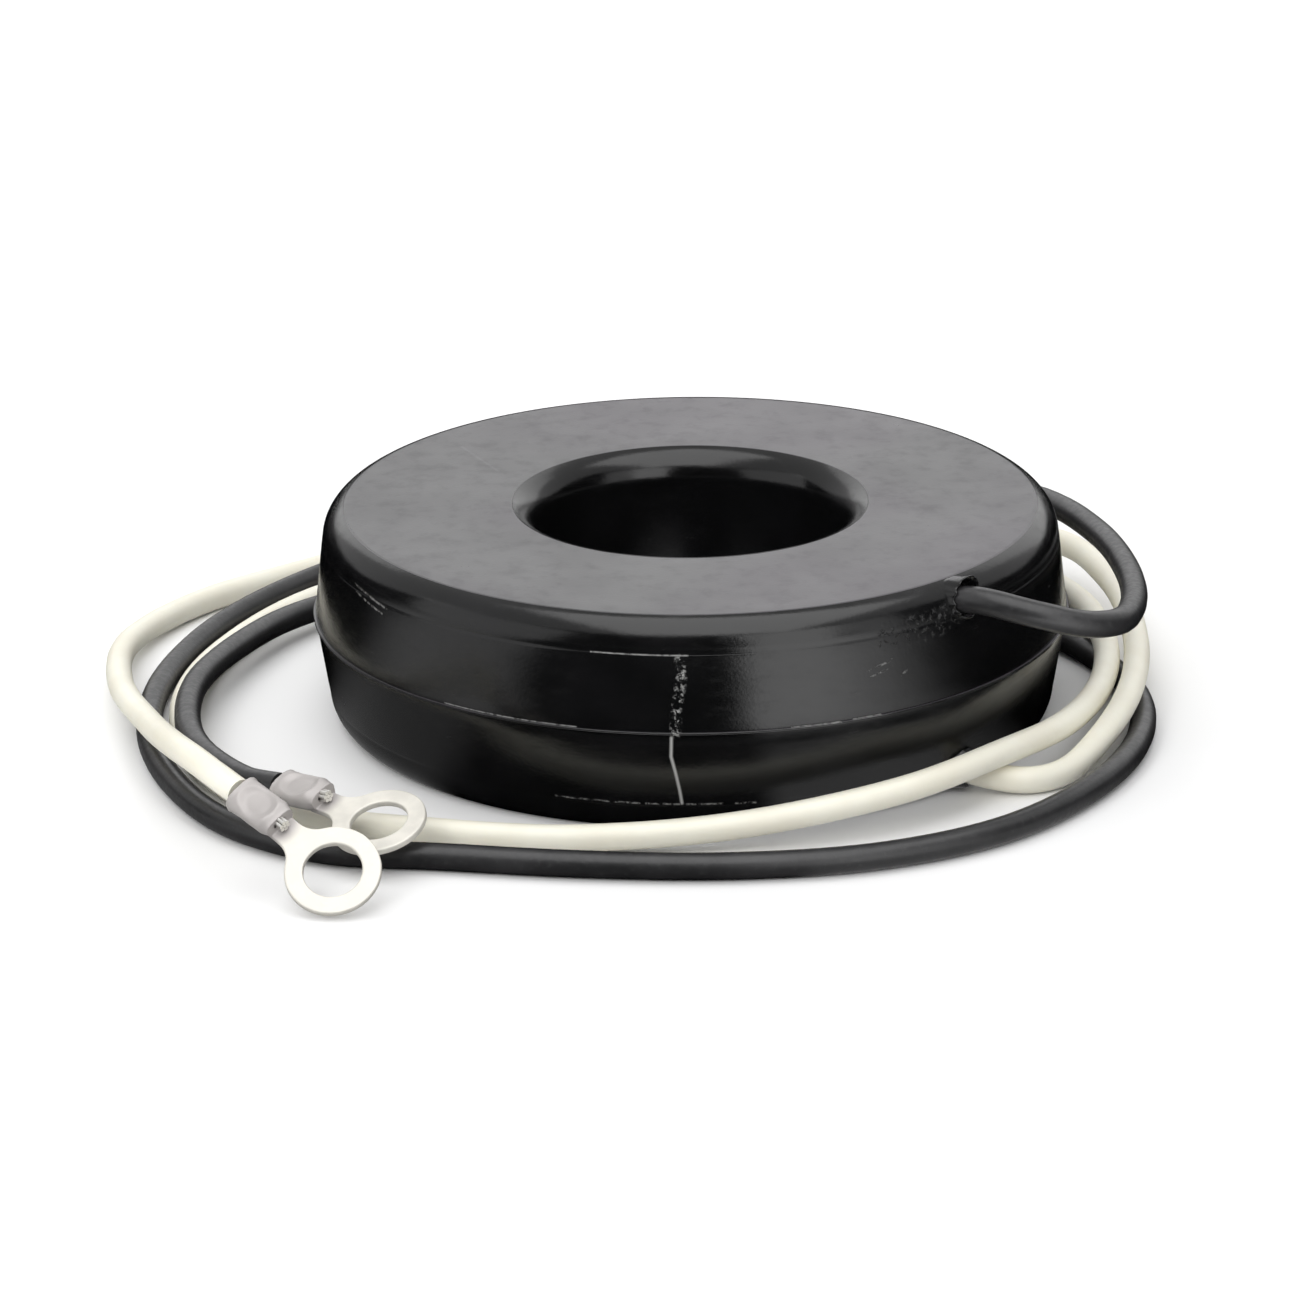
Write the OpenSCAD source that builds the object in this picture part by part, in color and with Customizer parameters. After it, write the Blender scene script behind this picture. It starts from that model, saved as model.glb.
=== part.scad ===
// Window-type ring current transformer with two flying leads.
// Millimetres, +Z up. The origin is the centre of the underside of the case,
// and the measured conductor passes through the bore along Z.

/* [Case] */
// Outside diameter of the case wall at the parting line
case_d = 88.5; // [86:0.1:96]
// Height from the underside to the top face
case_h = 25.4; // [25:0.1:30]
// Diameter of the bore that the measured conductor passes through
bore_d = 36.5; // [33:0.1:38]
// Thickness of the outer wall
outer_wall = 2.4; // [2:0.1:3]
// Thickness of the top and of the floor
face_wall = 2.2; // [1.8:0.1:2.3]
// Thickness of the tube around the bore
bore_wall = 2; // [1.6:0.1:2.4]
// Inward lean of the upper half of the outer wall
upper_taper = 1.0; // [0.3:0.05:1.4]
// Inward lean of the lower half of the outer wall
lower_taper = 1.4; // [0.3:0.05:1.6]
// Radius of the rounding at the rims of the case and of the bore
rim_r = 4.1; // [3.9:0.05:4.6]
// Height of that rounding, a little less than its radius, which leaves a crisp edge
rim_h = 3.8; // [2.5:0.05:3.85]

/* [Parting line] */
// How far the moulding lip stands proud of the wall
lip_out = 0.4; // [0.1:0.05:0.8]
// Height of the moulding lip on each half
lip_h = 0.3; // [0.1:0.05:0.6]
// Height of the tongue that laps the two halves
tongue_h = 1.5; // [0.8:0.1:2]
// Play around the tongue
tongue_play = 0.1; // [0.05:0.05:0.2]

/* [Core] */
// Room between the wound core and the walls beside it
core_room = 2; // [1.6:0.1:2.6]
// Wall of the insulating caps over the core
cap_wall = 0.7; // [0.5:0.05:0.8]
// Rounding of the caps where the wire bends over them
cap_round = 1; // [0.8:0.05:1.4]

/* [Winding] */
// Number of secondary turns
turns = 40; // [20:1:44]
// Diameter of the enamelled wire
wire_d = 1.3; // [1:0.05:1.4]
// Thickness of the tape around the winding
tape_t = 0.25; // [0.15:0.05:0.4]

/* [Inner ribs] */
// Number of ribs in each half that carry the wound core
rib_n = 6; // [6:6:6]
// Thickness of a rib
rib_t = 1.6; // [1:0.1:2.4]
// Play between the wound core and the upright part of the ribs
rib_play = 0.25; // [0.15:0.05:0.5]

/* [Leads] */
// Diameter over the insulation of a lead
lead_d = 3.1; // [2.6:0.1:3.1]
// Diameter of one strand of the conductor
strand_d = 0.46; // [0.3:0.02:0.5]
// Largest diameter of the collar where a lead leaves the case
collar_d = 6; // [5:0.1:7]
// Play between a lead and its hole
lead_play = 0.1; // [0.05:0.05:0.3]

/* [Splices] */
// Outside diameter of the crimped copper tube
splice_d = 2.4; // [2.2:0.1:2.6]
// Length of the copper tube
splice_len = 5.4; // [4:0.1:5.6]
// Wall of the heat-shrink sleeve over it
sleeve_wall = 0.35; // [0.2:0.05:0.4]

/* [Ring terminals] */
// Outside diameter of the ring
ring_d = 10.7; // [9:0.1:12]
// Hole for the stud
stud_d = 6.5; // [5:0.1:6.6]
// Thickness of the strip that a terminal is stamped from
strip_t = 0.8; // [0.6:0.05:1]
// Width of the neck between barrel and ring
neck_w = 3.2; // [2.6:0.1:4]
// Radius of the flare from the neck into the ring
flare_r = 3; // [2:0.1:4]
// Distance from the barrel to the centre of the ring
reach = 8; // [7.8:0.1:11]
// Length of the crimp barrel
barrel_len = 6.4; // [5:0.1:8]
// Width of the crimped barrel
barrel_w = 4.4; // [4:0.1:5]
// Height of the crimped barrel
barrel_h = 2.9; // [2.7:0.1:3.4]
// Depth of the dent that the crimping tool leaves
dent = 0.4; // [0.1:0.05:0.5]

/* [Hidden] */
$fn = 96;
eps = 0.01;

// Heights and radii that several pieces share
mid_h = case_h / 2;
wall_r = case_d / 2;
bore_r = bore_d / 2;
tube_r = bore_r + bore_wall;
rim_out = rim_r - sqrt(rim_r * rim_r - rim_h * rim_h);
tongue_clear = 0.7;
collar_edge = 0.7;

// The splices lie along the two faces, and the wound core fills the height between
sleeve_play = 0.05;
sleeve_r = splice_d / 2 + sleeve_play + sleeve_wall;
splice_play = 0.1;
winding_play = 0.15;
splice_depth = face_wall + splice_play + sleeve_r;
wound_top = case_h - splice_depth - max(sleeve_r, lead_d / 2) - winding_play;
wound_in_r = tube_r + core_room;
wound_out_r = wall_r - max(upper_taper, lower_taper) - outer_wall - core_room;

// From the outside in: the tape covers the wire, the wire clears the caps with its
// bends cut in 45 degree steps, and the caps fit the core
cap_fit = 0.1;
tape_gap = 0.08;
wire_off = wire_d / 2 + 0.1 * (cap_round + wire_d / 2);
tape_in_r = wound_in_r + tape_t;
tape_out_r = wound_out_r - tape_t;
tape_top = wound_top - tape_t;
wire_in_r = tape_in_r + tape_gap + wire_d / 2;
wire_out_r = tape_out_r - tape_gap - wire_d / 2;
wire_top = tape_top - tape_gap - wire_d / 2;
cap_in_r = wire_in_r + wire_off;
cap_out_r = wire_out_r - wire_off;
cap_top = wire_top - wire_off;
core_id = 2 * (cap_in_r + cap_wall + cap_fit);
core_od = 2 * (cap_out_r - cap_wall - cap_fit);
core_h = 2 * (cap_top - cap_wall - mid_h);

// Small gaps at the bared ends of the leads
splice_gap = 0.4;
lead_end_gap = 0.3;
bared_gap = 0.6;
strand_gap = 0.2;
strands_out = 0.9;
splice_bore = max(wire_d, 3 * strand_d) + 0.12;

// The wire starts at the black lead's splice and ends at the white lead's. Each of
// its ends leaves the bore side in a bend and runs straight into the splice.
start_az = -43.5;
finish_az = -48;
end_bend = 1.1 * wire_d;
end_straight = 0.7;
splice_r = wire_in_r + end_bend + end_straight + splice_len + splice_gap;

// Lay of the black lead from inside the case to its terminal: azimuth around the
// case, distance outside the case wall, and height
black_lay = [
    [-44.2, -8, 21.5], [-44.5, 0.5, 23.7], [-41, 6.9, 22.7], [-36.3, 10.6, 21.1],
    [-30.9, 12, 20.1], [-23.1, 10.6, 19.4], [-10, 7.5, 18.8], [11.1, 5.2, 17.8],
    [33.2, 6, 16.3], [56.9, 7.1, 13.2], [81.2, 7.9, 9.5], [102.4, 11.6, 6.5],
    [121.5, 15, 4.2], [140.3, 16.8, 2.6], [157, 18, 1.9], [173.6, 18.9, 1.6],
    [188.9, 20.1, 1.6], [204.2, 21.5, 1.6], [218.9, 22.6, 1.6], [231.3, 20.5, 1.6],
    [242, 15.3, 1.6], [257.7, 12.2, 1.6], [274.1, 11.9, 1.6], [290.5, 12.9, 1.6],
    [306.3, 13.2, 1.6], [323.3, 11.9, 1.6], [339.2, 10.6, 1.6], [354.6, 8.8, 1.6],
    [369.7, 6, 1.6], [385.2, 3.8, 1.6], [410.7, 5.5, 1.6], [446.6, 6, 1.6],
    [480.2, 7.3, 1.6], [510.5, 9.5, 2.8], [528, 11.2, 3.8], [546.8, 14.7, 4.8],
    [563.3, 17.8, 4.8], [576.4, 18.3, 5], [581.6, 17.5, 5.6],
];

// Lay of the white lead, the same way
white_lay = [
    [-46.9, -7.8, 3.9], [-42.3, 1.1, 2.3], [-38.6, 4.9, 1.7], [-33.5, 6.8, 1.8],
    [-24, 7.4, 3.3], [-11.1, 7.9, 4.8], [10.1, 9.8, 4.9], [31.1, 15.7, 4.9],
    [42.8, 19.1, 5.2], [59.3, 18.5, 3.8], [81.3, 15.4, 2], [106.3, 12.7, 1.6],
    [140.6, 13.3, 1.6], [164.7, 14.4, 1.6], [184.8, 16, 1.6], [207.2, 17, 1.6],
    [223.1, 14.7, 1.6], [236.1, 9.6, 1.6], [253.7, 5.6, 1.8], [274.8, 3.7, 3],
    [298.7, 3.6, 4.8], [318, 2.8, 5.3], [333.3, 3.6, 5], [349.9, 4.3, 4.9],
    [369.2, 5.8, 4.9], [388.4, 8.4, 4.8], [409.9, 10, 4.8], [431.1, 12.8, 5.2],
    [451.9, 16.8, 5.1], [472.6, 20.8, 3.2], [495.6, 21.5, 1.6], [511, 24.9, 1.6],
    [526, 25.8, 2.4], [541.7, 23.3, 3.9], [559.9, 21.9, 6.3], [574.3, 25.8, 10],
    [580.6, 28.3, 11.3], [584.4, 29.3, 11.1], [587.5, 29.4, 10.1],
];

// The lead and the height of the case that the two lays are written for
lay_lead_d = 3.1;
lay_case_h = 25.4;

// How many leads' thickness lies below a point of a lay, and how much of the case's
// height is below it, by the height of the point
leads_below = [[0, 0], [4.8, 1.55], [5.6, 1], [10, 0]];
case_below = [[5, 0], [20, 1]];

// A point of a lay, brought to this case and this lead
function laid(p) =
    let (
        r = wall_r + p[1] * lead_d / lay_lead_d,
        rise = (lead_d - lay_lead_d) * lookup(p[2], leads_below)
            + (case_h - lay_case_h) * lookup(p[2], case_below)
    )
    [r * cos(p[0]), r * sin(p[0]), p[2] + rise];

// A lead's whole route. The first two points are level with the splice, and the
// lead leaves the case between the second and the third.
function route(az, z, lay) =
    let (turn_in = laid(lay[0]))
    concat(
        [[splice_r * cos(az), splice_r * sin(az), z], [turn_in[0], turn_in[1], z]],
        [for (i = [1 : len(lay) - 1]) laid(lay[i])]
    );
black_route = route(start_az, case_h - splice_depth, black_lay);
white_route = route(finish_az, splice_depth, white_lay);

// How far each terminal is turned about its lead, and how far its ring is bent down
black_roll = 20;
black_bend = 9;
white_roll = 31;
white_bend = 12;

// ---- small helpers -------------------------------------------------------

function unit(v) = v / norm(v);
function heading(v) = atan2(v[1], v[0]);
function climb(v) = asin(v[2] / norm(v));
function last(list, back = 1) = list[len(list) - back];

// Direction of a polyline at point i
function along(pts, i) =
    i == 0 ? unit(pts[1] - pts[0]) :
    i == len(pts) - 1 ? unit(pts[i] - pts[i - 1]) :
    unit(unit(pts[i] - pts[i - 1]) + unit(pts[i + 1] - pts[i]));

// Ring of points around pts[i], square to the polyline, turned to the side vector
function tube_ring(pts, i, r, sides, side) =
    let (t = along(pts, i), u = unit(cross(t, side)), v = cross(u, t))
    [for (k = [0 : sides - 1])
        let (a = 360 * (k + 0.5) / sides)
        pts[i] + r * (cos(a) * u + sin(a) * v)];

// One closed tube along a polyline. side_vectors gives each ring its turn.
module swept_tube(pts, r, sides, side_vectors) {
    rings = len(pts);
    points = [for (i = [0 : rings - 1])
        each tube_ring(pts, i, r, sides, side_vectors[i])];
    walls = [for (i = [0 : rings - 2]) for (k = [0 : sides - 1])
        let (n = (k + 1) % sides, here = i * sides, next = here + sides)
        each [[here + k, here + n, next + n], [here + k, next + n, next + k]]];
    first_end = [for (k = [sides - 1 : -1 : 0]) k];
    other_end = [for (k = [0 : sides - 1]) (rings - 1) * sides + k];
    polyhedron(points, concat([first_end], walls, [other_end]), convexity = 10);
}

// Puts its children at a point with their X axis along a direction
module place_along(point, direction, roll = 0) {
    translate(point)
        rotate([0, -climb(direction), heading(direction)])
            rotate([roll, 0, 0])
                children();
}

// A rod along X from its children's origin
module rod(r, length) {
    rotate([0, 90, 0])
        cylinder(r = r, h = length);
}

// A flat ring between two radii
module band(in_r, out_r, low, high) {
    translate([0, 0, low])
        difference() {
            cylinder(r = out_r, h = high - low);
            translate([0, 0, -1])
                cylinder(r = in_r, h = high - low + 2);
        }
}

// ---- case ----------------------------------------------------------------

// Section of half a case, solid, from the parting line up to its face.
// The rims are arcs that stop short of a full quarter turn.
module half_section(taper) {
    shoulder = mid_h - rim_h;
    rim_x = wall_r - taper;
    polygon([
        [bore_r, 0], [wall_r, 0], [rim_x, shoulder], [rim_x - rim_out, shoulder],
        [rim_x - rim_out, mid_h], [bore_r + rim_out, mid_h],
        [bore_r + rim_out, shoulder], [bore_r, shoulder],
    ]);
    intersection() {
        for (x = [rim_x - rim_r, bore_r + rim_r])
            translate([x, shoulder])
                circle(r = rim_r);
        translate([bore_r, shoulder - eps])
            square([rim_x - bore_r, rim_h + eps]);
    }
}

// Section of the room inside half a case
module room_section(taper) {
    ceiling = mid_h - face_wall;
    shoulder = mid_h - rim_h;
    room_x = wall_r - taper - outer_wall;
    polygon([
        [tube_r, -1], [wall_r - outer_wall, -1], [wall_r - outer_wall, 0],
        [room_x, shoulder], [room_x - rim_out, ceiling], [tube_r, ceiling],
    ]);
}

// Section of the two tongues on the parting line, one in each wall
module tongue_section(play, foot) {
    outer_x = wall_r - outer_wall;
    translate([outer_x - 2 * play, -foot])
        square([outer_wall / 2 + 3 * play, foot + tongue_h + play]);
    translate([tube_r - bore_wall / 2 - play, -foot])
        square([bore_wall / 2 + 3 * play, foot + tongue_h + play]);
}

// Ribs on the face of half a case, with a saddle that carries the wound core
module ribs(taper) {
    foot = tongue_h + tongue_clear;
    intersection() {
        difference() {
            for (i = [0 : rib_n - 1])
                rotate([0, 0, i * 360 / rib_n])
                    translate([tube_r - bore_wall / 2, -rib_t / 2, foot])
                        cube([wall_r - tube_r, rib_t, mid_h - foot - face_wall / 2]);
            band(wound_in_r - rib_play, wound_out_r + rib_play, 0, wound_top - mid_h);
        }
        translate([0, 0, -1])
            rotate_extrude()
                translate([0, 1])
                    half_section(taper);
    }
}

// Half a case in its own frame, with the parting line at 0 and its face upwards
module half_case(taper) {
    difference() {
        union() {
            rotate_extrude()
                half_section(taper);
            band(wall_r - 1, wall_r + lip_out, 0, lip_h);
        }
        rotate_extrude()
            room_section(taper);
    }
    ribs(taper);
}

// Collar around a lead where it leaves the case, kept between the two faces
module collar(route) {
    way = unit(route[2] - route[1]);
    grip = norm(route[2] - route[1]);
    intersection() {
        place_along(route[1] + 0.4 * grip * way, way)
            rotate([0, 90, 0])
                cylinder(d1 = collar_d, d2 = lead_d + 2 * collar_edge, h = 0.55 * grip);
        cylinder(r = wall_r + collar_d, h = case_h);
    }
}

// Straight hole that a lead takes through the wall
module lead_hole(route) {
    way = unit(route[2] - route[1]);
    place_along(route[1] - way, way)
        rod(lead_d / 2 + lead_play, norm(route[2] - route[1]) + 3);
}

module upper_case() {
    color([0.07, 0.07, 0.075])
        difference() {
            union() {
                translate([0, 0, mid_h])
                    difference() {
                        half_case(upper_taper);
                        rotate_extrude()
                            tongue_section(tongue_play, 1);
                    }
                collar(black_route);
            }
            lead_hole(black_route);
        }
}

module lower_case() {
    color([0.07, 0.07, 0.075])
        difference() {
            union() {
                translate([0, 0, mid_h])
                    mirror([0, 0, 1])
                        half_case(lower_taper);
                translate([0, 0, mid_h])
                    rotate_extrude()
                        tongue_section(0, eps);
                collar(white_route);
            }
            lead_hole(white_route);
        }
}

// ---- wound core ----------------------------------------------------------

module core() {
    color([0.62, 0.64, 0.67])
        band(core_id / 2, core_od / 2, mid_h - core_h / 2, mid_h + core_h / 2);
}

// Half of the insulating shell over the core, with rounded edges for the wire
module core_cap() {
    top = core_h / 2 + cap_wall;
    rotate_extrude()
        difference() {
            union() {
                translate([cap_in_r, 0])
                    square([cap_out_r - cap_in_r, top - cap_round]);
                translate([cap_in_r + cap_round, 0])
                    square([cap_out_r - cap_in_r - 2 * cap_round, top]);
                for (x = [cap_in_r + cap_round, cap_out_r - cap_round])
                    translate([x, top - cap_round])
                        circle(r = cap_round);
            }
            translate([core_id / 2 - cap_fit, -1])
                square([(core_od - core_id) / 2 + 2 * cap_fit, core_h / 2 + 1]);
            translate([0, -2 * cap_round])
                square([core_od, 2 * cap_round]);
        }
}

module upper_core_cap() {
    color([0.72, 0.2, 0.14])
        translate([0, 0, mid_h])
            core_cap();
}

module lower_core_cap() {
    color([0.72, 0.2, 0.14])
        translate([0, 0, mid_h])
            mirror([0, 0, 1])
                core_cap();
}

// Half height of the wire's path over the caps, and the radius of its bends
wire_half = wire_top - mid_h;
wire_bend = cap_round + wire_off;

// One turn as radius and height from mid height: down the bore side, out along
// the underside, up the outside and back over the top
corner_turn = [0, 45, 90];
function turn_corner(r, h, from) = [for (a = corner_turn)
    [r + wire_bend * cos(from + a), h + wire_bend * sin(from + a)]];
one_turn = concat(
    turn_corner(wire_in_r + wire_bend, -(wire_half - wire_bend), 180),
    turn_corner(wire_out_r - wire_bend, -(wire_half - wire_bend), 270),
    turn_corner(wire_out_r - wire_bend, wire_half - wire_bend, 0),
    turn_corner(wire_in_r + wire_bend, wire_half - wire_bend, 90)
);

wound_span = 360 + finish_az - start_az;

// End of the wire, from the middle of its splice to the bore side of the core. It
// lies above mid height for side 1 and below it for side -1.
splice_z = mid_h - splice_depth;
function wire_tail(side) = [
    [splice_r - splice_gap - splice_len / 2 - lead_end_gap, side * splice_z],
    [wire_in_r + end_bend, side * splice_z],
    [wire_in_r + 0.3 * end_bend, side * (splice_z - 0.3 * end_bend)],
    [wire_in_r, side * (splice_z - end_bend)],
];
function backwards(list) = [for (i = [len(list) - 1 : -1 : 0]) list[i]];

start_tail = wire_tail(1);
finish_tail = backwards(wire_tail(-1));
wound_steps = (turns - 1) * len(one_turn);

// Every point of the wire as radius, height from mid height, and azimuth
wire_path = concat(
    [for (p = start_tail) [p[0], p[1], start_az]],
    [for (i = [0 : wound_steps - 1])
        let (p = one_turn[i % len(one_turn)])
        [p[0], p[1], start_az + wound_span * i / (wound_steps - 1)]],
    [for (p = finish_tail) [p[0], p[1], finish_az + 360]]
);
function on_ring(p) = [p[0] * cos(p[2]), p[0] * sin(p[2]), mid_h + p[1]];
core_mid_r = (wire_in_r + wire_out_r) / 2;
function away_from_core(p) = let (d = p[0] - core_mid_r)
    [d * cos(p[2]), d * sin(p[2]), p[1]];

module secondary_winding() {
    color([0.72, 0.36, 0.16])
        swept_tube(
            [for (p = wire_path) on_ring(p)], wire_d / 2, 6,
            [for (p = wire_path) away_from_core(p)]
        );
}

// Tape around the wound core, with a hole for each end of the wire
module winding_tape() {
    hole_r = wire_d / 2 + tape_gap;
    tape_low = 2 * mid_h - tape_top;
    color([0.85, 0.72, 0.3])
        difference() {
            band(wound_in_r, wound_out_r, 2 * mid_h - wound_top, wound_top);
            band(tape_in_r, tape_out_r, tape_low, tape_top);
            rotate([0, 0, start_az])
                translate([wire_in_r, 0, mid_h])
                    cylinder(r = hole_r, h = case_h);
            rotate([0, 0, finish_az])
                translate([wire_in_r, 0, mid_h - case_h])
                    cylinder(r = hole_r, h = case_h);
        }
}

// ---- splices -------------------------------------------------------------

// Places its children at a lead's inner end, with X pointing at the bore
module at_inner_end(route) {
    translate(route[0])
        rotate([0, 0, 180 + heading(route[0])])
            children();
}

module splice(route) {
    color([0.75, 0.45, 0.25])
        at_inner_end(route)
            translate([splice_gap, 0, 0])
                difference() {
                    rod(splice_d / 2, splice_len);
                    translate([-1, 0, 0])
                        rod(splice_bore / 2, splice_len + 2);
                }
}

module sleeve(route) {
    inner_r = splice_d / 2 + sleeve_play;
    color([0.1, 0.1, 0.1])
        at_inner_end(route)
            translate([lead_end_gap, 0, 0])
                difference() {
                    rod(inner_r + sleeve_wall, splice_len + 1);
                    translate([-1, 0, 0])
                        rod(inner_r, splice_len + 3);
                }
}

module start_splice() { splice(black_route); }
module finish_splice() { splice(white_route); }
module start_sleeve() { sleeve(black_route); }
module finish_sleeve() { sleeve(white_route); }

// ---- leads ---------------------------------------------------------------

module lead(route, tint) {
    color(tint)
        swept_tube(route, lead_d / 2, 8, [for (p = route) [0, 0, 1]]);
}

module black_lead() { lead(black_route, [0.13, 0.13, 0.14]); }
module white_lead() { lead(white_route, [0.95, 0.93, 0.84]); }

// Seven bare strands along X: one in the middle and six around it
module strand_bundle(length) {
    rod(strand_d / 2, length);
    for (i = [0 : 5])
        rotate([i * 60, 0, 0])
            translate([0, strand_d + eps, 0])
                rod(strand_d / 2, length);
}

// The strands bared at both ends of a lead: into its splice and its terminal
module strands(route) {
    color([0.8, 0.78, 0.72]) {
        at_inner_end(route)
            translate([lead_end_gap, 0, 0])
                strand_bundle(splice_gap + splice_len / 2 - strand_gap - lead_end_gap);
        place_along(last(route), last(route) - last(route, 2))
            strand_bundle(bared_gap + barrel_len + strands_out);
    }
}

module black_strands() { strands(black_route); }
module white_strands() { strands(white_route); }

// ---- ring terminals ------------------------------------------------------

// Outline of the ring and its neck, with the neck's root at the origin
module tongue_outline() {
    flare_y = neck_w / 2 + flare_r;
    flare_x = sqrt(pow(ring_d / 2 + flare_r, 2) - flare_y * flare_y);
    share = (ring_d / 2) / (ring_d / 2 + flare_r);
    difference() {
        union() {
            translate([-1, -neck_w / 2])
                square([reach + 1, neck_w]);
            translate([reach - flare_x, -flare_y * share])
                square([flare_x, 2 * flare_y * share]);
            translate([reach, 0])
                circle(d = ring_d);
        }
        for (side = [-1, 1])
            translate([reach - flare_x, side * flare_y])
                circle(r = flare_r);
        translate([reach, 0])
            circle(d = stud_d);
    }
}

// Flattened round section of the crimped barrel
module barrel_section(w, h) {
    square([h, w - h], center = true);
    for (side = [-1, 1])
        translate([0, side * (w - h) / 2])
            circle(d = h);
}

// One stamped piece. The barrel lies along X from the origin, and the tongue
// leaves its underside and is bent down by an angle.
module ring_terminal(bend) {
    wire_hole = 3 * strand_d + strand_gap;
    dent_r = 6;
    difference() {
        union() {
            rotate([0, 90, 0])
                linear_extrude(barrel_len)
                    barrel_section(barrel_w, barrel_h);
            translate([barrel_len - strip_t, 0, strip_t - barrel_h / 2])
                rotate([0, bend, 0])
                    translate([strip_t, 0, -strip_t])
                        linear_extrude(strip_t)
                            tongue_outline();
        }
        translate([-1, 0, 0])
            rod(wire_hole / 2, barrel_len + 3);
        translate([barrel_len / 2, 0, barrel_h / 2 + dent_r - dent])
            rotate([90, 0, 0])
                cylinder(r = dent_r, h = barrel_w - 1.2, center = true);
    }
}

module fitted_terminal(route, roll, bend) {
    color([0.86, 0.84, 0.78])
        place_along(last(route), last(route) - last(route, 2), roll)
            translate([bared_gap, 0, 0])
                ring_terminal(bend);
}

module black_terminal() { fitted_terminal(black_route, black_roll, black_bend); }
module white_terminal() { fitted_terminal(white_route, white_roll, white_bend); }

// ---- output --------------------------------------------------------------

upper_case();
lower_case();
core();
upper_core_cap();
lower_core_cap();
secondary_winding();
winding_tape();
start_splice();
finish_splice();
start_sleeve();
finish_sleeve();
black_lead();
white_lead();
black_strands();
white_strands();
black_terminal();
white_terminal();
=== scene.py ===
"""Looks of the ring current transformer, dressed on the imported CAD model.

Blender works in metres. The pieces' sizes and routes, and the marks on them, are written in
mm. The camera, the lamps, the cards and the bump distances are in metres, and noise scales
are per metre."""

import math

import bmesh
import bpy
from mathutils import Matrix, Vector, noise


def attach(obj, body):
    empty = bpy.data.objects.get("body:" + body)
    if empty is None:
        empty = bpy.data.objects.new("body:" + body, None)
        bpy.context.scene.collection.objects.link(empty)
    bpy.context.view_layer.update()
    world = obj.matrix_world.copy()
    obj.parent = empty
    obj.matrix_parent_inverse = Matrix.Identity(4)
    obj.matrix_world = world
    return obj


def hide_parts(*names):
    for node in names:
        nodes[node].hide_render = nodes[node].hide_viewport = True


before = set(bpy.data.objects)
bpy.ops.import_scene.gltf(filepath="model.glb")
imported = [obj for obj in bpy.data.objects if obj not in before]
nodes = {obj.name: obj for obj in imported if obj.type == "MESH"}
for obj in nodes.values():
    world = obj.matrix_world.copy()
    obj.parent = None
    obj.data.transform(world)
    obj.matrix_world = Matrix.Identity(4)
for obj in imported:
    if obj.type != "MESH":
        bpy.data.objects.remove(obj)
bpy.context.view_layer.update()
MM = 0.001

# ---- camera ------------------------------------------------------------------
# The camera is fitted to the photo: elevation, distance, focal length in pixels of a
# 1300-pixel frame, and where the optical axis meets that frame.
ELEVATION = 0.3533
DISTANCE = 0.7057
FRAME_PX = 1300.0
FOCAL_PX = 5943.0
AXIS_PX = (691.89, 703.33)
ROLL = -0.0079
SENSOR = 36.0

cam_data = bpy.data.cameras.new("camera")
cam_data.sensor_width = SENSOR
cam_data.sensor_fit = "HORIZONTAL"
cam_data.lens = FOCAL_PX / FRAME_PX * SENSOR
cam_data.shift_x = (FRAME_PX / 2 - AXIS_PX[0]) / FRAME_PX
cam_data.shift_y = (AXIS_PX[1] - FRAME_PX / 2) / FRAME_PX
cam_data.clip_start = 0.01
cam_data.clip_end = 50
camera = bpy.data.objects.new("camera", cam_data)
camera.location = (0, -DISTANCE * math.cos(ELEVATION), DISTANCE * math.sin(ELEVATION))
camera.rotation_euler = (
    Matrix.Rotation(math.pi / 2 - ELEVATION, 3, "X") @ Matrix.Rotation(ROLL, 3, "Z")
).to_euler()
bpy.context.scene.collection.objects.link(camera)
bpy.context.scene.camera = camera

# ---- cords: the leads, along the routes of the CAD source ---------------------
LEAD_D = 3.1
CASE_R = 44.25
# Radius, azimuth and height at which the lead meets its splice inside the case
BLACK_SPLICE = (31.16, -43.5, 21.5)
WHITE_SPLICE = (31.16, -48.0, 3.9)
# Azimuth around the case in degrees, distance outside the case wall and height in mm
BLACK_LAY = [
    (-44.2, -8, 21.5), (-44.5, 0.5, 23.7), (-41, 6.9, 22.7), (-36.3, 10.6, 21.1),
    (-30.9, 12, 20.1), (-23.1, 10.6, 19.4), (-10, 7.5, 18.8), (11.1, 5.2, 17.8),
    (33.2, 6, 16.3), (56.9, 7.1, 13.2), (81.2, 7.9, 9.5), (102.4, 11.6, 6.5),
    (121.5, 15, 4.2), (140.3, 16.8, 2.6), (157, 18, 1.9), (173.6, 18.9, 1.6),
    (188.9, 20.1, 1.6), (204.2, 21.5, 1.6), (218.9, 22.6, 1.6), (231.3, 20.5, 1.6),
    (242, 15.3, 1.6), (257.7, 12.2, 1.6), (274.1, 11.9, 1.6), (290.5, 12.9, 1.6),
    (306.3, 13.2, 1.6), (323.3, 11.9, 1.6), (339.2, 10.6, 1.6), (354.6, 8.8, 1.6),
    (369.7, 6, 1.6), (385.2, 3.8, 1.6), (410.7, 5.5, 1.6), (446.6, 6, 1.6),
    (480.2, 7.3, 1.6), (510.5, 9.5, 2.8), (528, 11.2, 3.8), (546.8, 14.7, 4.8),
    (563.3, 17.8, 4.8), (576.4, 18.3, 5), (581.6, 17.5, 5.6),
]
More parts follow.
